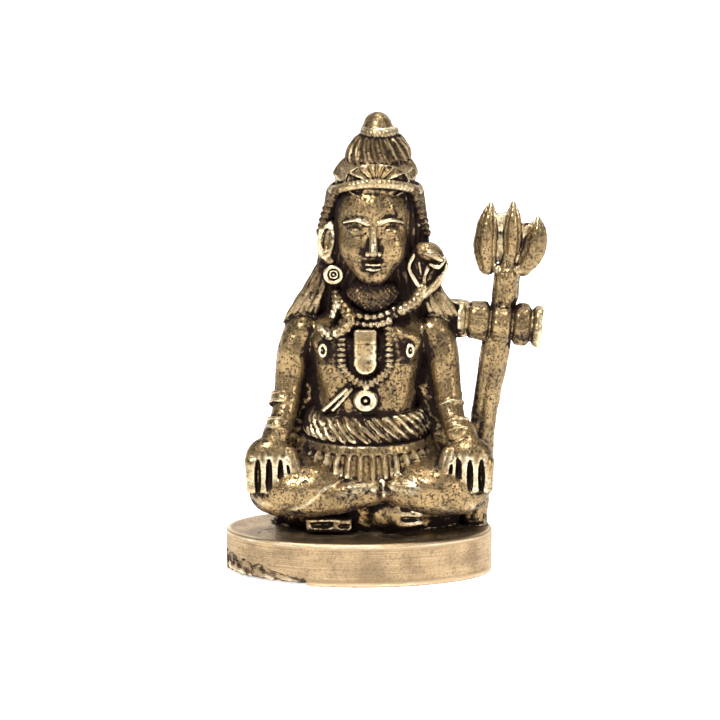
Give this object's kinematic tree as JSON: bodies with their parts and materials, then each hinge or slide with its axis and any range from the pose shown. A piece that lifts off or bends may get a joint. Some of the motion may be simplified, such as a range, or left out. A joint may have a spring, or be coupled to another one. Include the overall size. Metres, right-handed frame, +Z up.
{
  "type": "seated deity figurine",
  "caption": "Seated cross-legged brass deity on an oval plinth, hands on knees, with a serpent at the neck and a drum and trident at the side.",
  "frame": {"origin": "centre of the plinth's underside", "axes": "+Z up, the figure faces -Y, the figure's right hand is on the -X side"},
  "size_m": [0.0518, 0.0224, 0.0762],
  "materials": {
    "plinth_brass": "ground, darkened",
    "figure_brass": "aged, worn bright on high spots",
    "ornament_brass": "aged, dark in recesses",
    "hair_brass": "aged, dark in recesses",
    "weapon_brass": "filed bright"
  },
  "bodies": {
    "root": {"plinth": "plinth_brass", "lap_core": "figure_brass", "torso": "figure_brass", "neck": "figure_brass", "head": "figure_brass", "right_shin": "figure_brass", "left_shin": "figure_brass", "right_foot": "figure_brass", "left_foot": "figure_brass", "right_thigh": "figure_brass", "right_arm": "figure_brass", "right_hand": "figure_brass", "right_elbow_band": "ornament_brass", "right_bracelet": "ornament_brass", "right_nipple": "figure_brass", "right_ear": "figure_brass", "right_arm_web": "figure_brass", "left_thigh": "figure_brass", "left_arm": "figure_brass", "left_hand": "figure_brass", "left_elbow_band": "ornament_brass", "left_bracelet": "ornament_brass", "left_nipple": "figure_brass", "left_ear": "figure_brass", "left_arm_web": "figure_brass", "kilt_fringe": "ornament_brass", "waist_sash": "ornament_brass", "beard": "hair_brass", "right_earring": "ornament_brass", "third_eye": "figure_brass", "serpent_neck": "ornament_brass", "serpent_hood": "ornament_brass", "serpent_body": "ornament_brass", "neck_beads": "ornament_brass", "pendant": "ornament_brass", "chest_plaque": "ornament_brass", "garland": "ornament_brass", "sacred_thread": "ornament_brass", "diadem": "ornament_brass", "topknot": "hair_brass", "topknot_cord": "ornament_brass", "finial": "ornament_brass", "headband": "ornament_brass", "right_hair_lock": "hair_brass", "left_hair_lock": "hair_brass", "hair_mane": "hair_brass", "staff": "weapon_brass", "drum": "weapon_brass", "drum_bridge": "weapon_brass", "inner_prong": "weapon_brass", "middle_prong": "weapon_brass", "outer_prong": "weapon_brass", "trident_collar": "weapon_brass", "prong_web": "weapon_brass"}
  },
  "joints": []
}
